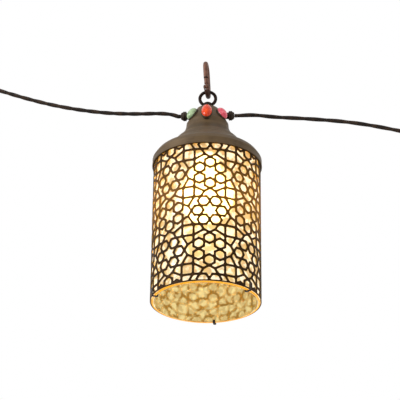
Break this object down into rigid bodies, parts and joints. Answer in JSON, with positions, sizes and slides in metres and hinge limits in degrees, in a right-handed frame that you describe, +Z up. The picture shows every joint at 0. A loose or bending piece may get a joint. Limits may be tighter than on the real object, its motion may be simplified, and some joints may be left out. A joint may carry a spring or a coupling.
{
  "type": "outdoor hanging lantern",
  "caption": "Cylindrical lantern with a pierced star-pattern metal shade round a clear liner, a spun cap with coloured stones, a ring and snap hook, and a lead running through the cap.",
  "frame": {"origin": "the inside of the snap hook's upper bow, where it rests on what the lantern hangs from", "axes": "+Z up; -Y towards the side that the picture shows, where the hook's gate is; the lead runs out along -X (plug) and +X (socket)"},
  "size_m": [0.5564, 0.1226, 0.302],
  "materials": {
    "dark_iron": "satin, nearly black brown",
    "bronze": "spun metal with a taupe bronze coat, satin",
    "hook_brown": "brown coat, satin",
    "clear_liner": "clear with a faint warm tint",
    "bulb_glass": "clear",
    "filament": "warm, stands for a lit filament",
    "rubber": "matt black brown",
    "brass": "bright",
    "steel": "zinc plated",
    "porcelain": "white, glazed",
    "holder_plastic": "dark brown",
    "orange_stone": "polished, translucent",
    "pink_stone": "polished, translucent",
    "green_stone": "polished, translucent"
  },
  "bodies": {
    "hook": {"snap_hook_body": "hook_brown", "gate_rivet": "steel"},
    "gate": {"hook_gate": "hook_brown"},
    "ring": {"hanging_ring": "dark_iron"},
    "lamp": {"lamp_base": "brass", "lamp_glass": "bulb_glass", "lamp_stem": "bulb_glass", "lamp_filament": "filament"},
    "lantern": {"pierced_shade": "dark_iron", "liner_tube": "clear_liner", "liner_clip_1": "dark_iron", "liner_clip_2": "dark_iron", "liner_clip_3": "dark_iron", "cap": "bronze", "ring_boss": "dark_iron", "boss_nut": "steel", "stone_cup_1": "dark_iron", "stone_1": "orange_stone", "stone_cup_2": "dark_iron", "stone_2": "pink_stone", "stone_cup_3": "dark_iron", "stone_3": "green_stone", "stone_cup_4": "dark_iron", "stone_4": "orange_stone", "stone_cup_5": "dark_iron", "stone_5": "pink_stone", "stone_cup_6": "dark_iron", "stone_6": "green_stone", "cable_gland_left": "rubber", "cable_gland_right": "rubber", "holder_plate": "steel", "plate_screw_front": "steel", "plate_screw_back": "steel", "holder_nipple": "brass", "nipple_nut": "brass", "holder_shell": "holder_plastic", "contact_block": "porcelain", "holder_screw_shell": "brass", "centre_contact": "brass", "feed_wire_left": "rubber", "feed_wire_right": "rubber", "lead_left": "rubber", "plug_left": "rubber", "plug_pin_1": "brass", "plug_pin_2": "brass", "lead_right": "rubber", "socket_right": "rubber"}
  },
  "joints": [
    {"name": "gate_swing", "type": "hinge", "parent": "hook", "child": "gate", "pos_m": [0.00099, -0.00921, -0.0322], "axis": [-0.9946, 0.0872, -0.0556], "range_deg": [0, 30], "stiffness_Nm_per_rad": 0.05},
    {"name": "ring_swing", "type": "hinge", "parent": "hook", "child": "ring", "pos_m": [0.00216, 0, -0.03864], "axis": [0, 1, 0], "range_deg": [-45, 45]},
    {"name": "lantern_swing", "type": "hinge", "parent": "ring", "child": "lantern", "pos_m": [0.00216, 0, -0.05189], "axis": [1, 0, 0], "range_deg": [-45, 45]},
    {"name": "lamp_turn", "type": "hinge", "parent": "lantern", "child": "lamp", "pos_m": [0.00216, 0, -0.11], "axis": [0, 0, -1], "range_deg": [0, 1080]}
  ]
}
